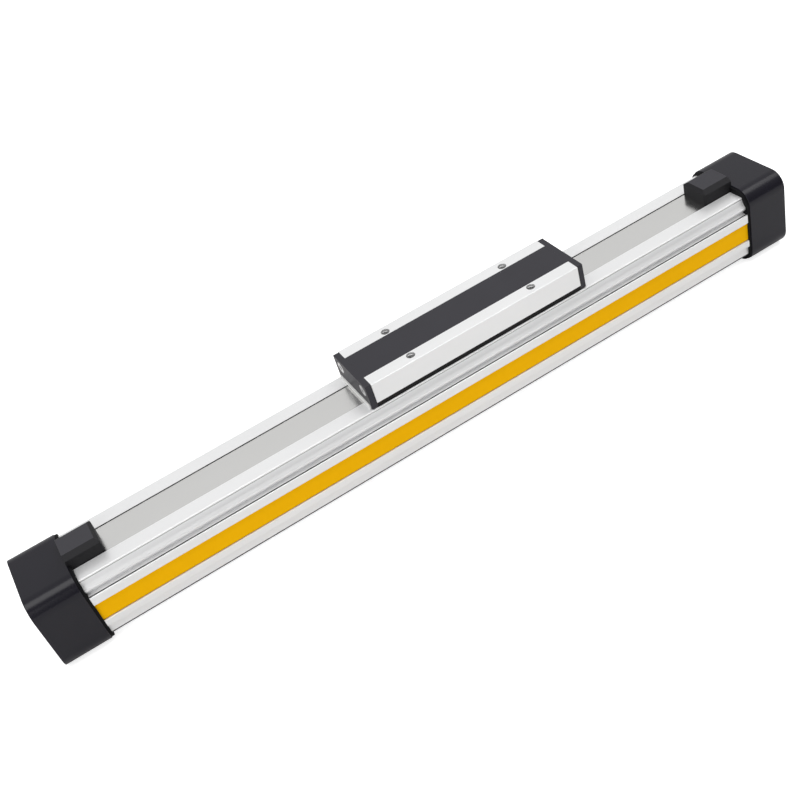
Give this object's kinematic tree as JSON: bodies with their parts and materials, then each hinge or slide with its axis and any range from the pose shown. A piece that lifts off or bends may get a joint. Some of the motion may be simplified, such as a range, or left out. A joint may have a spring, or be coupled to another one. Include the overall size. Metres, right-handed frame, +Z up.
{
  "type": "rodless pneumatic cylinder",
  "caption": "Slotted-barrel rodless air cylinder: a band-sealed carriage driven by pistons through a slot, between two ported, cushioned end caps.",
  "frame": {"origin": "on the underside of the end caps, half way along the cylinder and in its middle plane", "axes": "+X along the bore, +Z up through the slot to the carriage, +Y across"},
  "size_m": [0.4, 0.041, 0.0513],
  "materials": {
    "barrel_aluminium": "satin anodised",
    "carriage_aluminium": "satin anodised",
    "turned_aluminium": "turned",
    "band_steel": "rolled",
    "magnet_rubber": "matt",
    "strip_plastic": "semi-matt",
    "cap_paint": "matt black",
    "screw_steel": "zinc plated",
    "seal_rubber": "matt",
    "needle_brass": "turned",
    "clamp_plastic": "matt black",
    "cover_plastic": "matt black",
    "wiper_plastic": "matt",
    "slide_plastic": "matt black",
    "wear_plastic": "matt",
    "magnet_steel": "sintered"
  },
  "bodies": {
    "cylinder": {"barrel": "barrel_aluminium", "outer_band": "band_steel", "inner_band": "band_steel", "magnet_strips": "magnet_rubber", "side_strip_back": "strip_plastic", "side_strip_front": "strip_plastic", "end_cap_left": "cap_paint", "end_cap_right": "cap_paint", "cap_screws_left": "screw_steel", "cap_screws_right": "screw_steel", "cap_o_ring_left": "seal_rubber", "cap_o_ring_right": "seal_rubber", "cushion_boss_left": "turned_aluminium", "cushion_boss_right": "turned_aluminium", "band_clamp_cover_left": "clamp_plastic", "band_clamp_cover_right": "clamp_plastic", "band_clamp_plate_left": "band_steel", "band_clamp_plate_right": "band_steel", "band_clamp_wedge_left": "turned_aluminium", "band_clamp_wedge_right": "turned_aluminium", "band_clamp_screws_left": "screw_steel", "band_clamp_screws_right": "screw_steel"},
    "carriage": {"carriage_body": "carriage_aluminium", "carriage_cover": "cover_plastic", "end_plate_left": "cover_plastic", "end_plate_right": "cover_plastic", "end_plate_screws_left": "screw_steel", "end_plate_screws_right": "screw_steel", "wiper_left": "wiper_plastic", "wiper_right": "wiper_plastic", "slide_strip_back": "slide_plastic", "slide_strip_front": "slide_plastic", "band_guide_left": "slide_plastic", "band_guide_right": "slide_plastic", "piston_yoke": "turned_aluminium", "yoke_screws": "screw_steel", "piston_left": "turned_aluminium", "piston_right": "turned_aluminium", "piston_seal_left": "seal_rubber", "piston_seal_right": "seal_rubber", "wear_ring_left": "wear_plastic", "wear_ring_right": "wear_plastic", "cushion_seal_left": "seal_rubber", "cushion_seal_right": "seal_rubber", "piston_magnets": "magnet_steel", "piston_screws": "screw_steel"},
    "cushion_screw_left": {"cushion_screw_left": "needle_brass"},
    "cushion_screw_right": {"cushion_screw_right": "needle_brass"}
  },
  "joints": [
    {"name": "carriage_slide", "type": "slide", "parent": "cylinder", "child": "carriage", "axis": [1, 0, 0], "range_m": [-0.125, 0.075], "deforming": ["outer_band", "inner_band"]},
    {"name": "cushion_screw_left_turn", "type": "hinge", "parent": "cylinder", "child": "cushion_screw_left", "pos_m": [-0.19, 0, 0.011], "axis": [1, 0, 0], "range_deg": [0, 1080]},
    {"name": "cushion_screw_right_turn", "type": "hinge", "parent": "cylinder", "child": "cushion_screw_right", "pos_m": [0.19, 0, 0.011], "axis": [1, 0, 0], "range_deg": [0, 1080]}
  ]
}
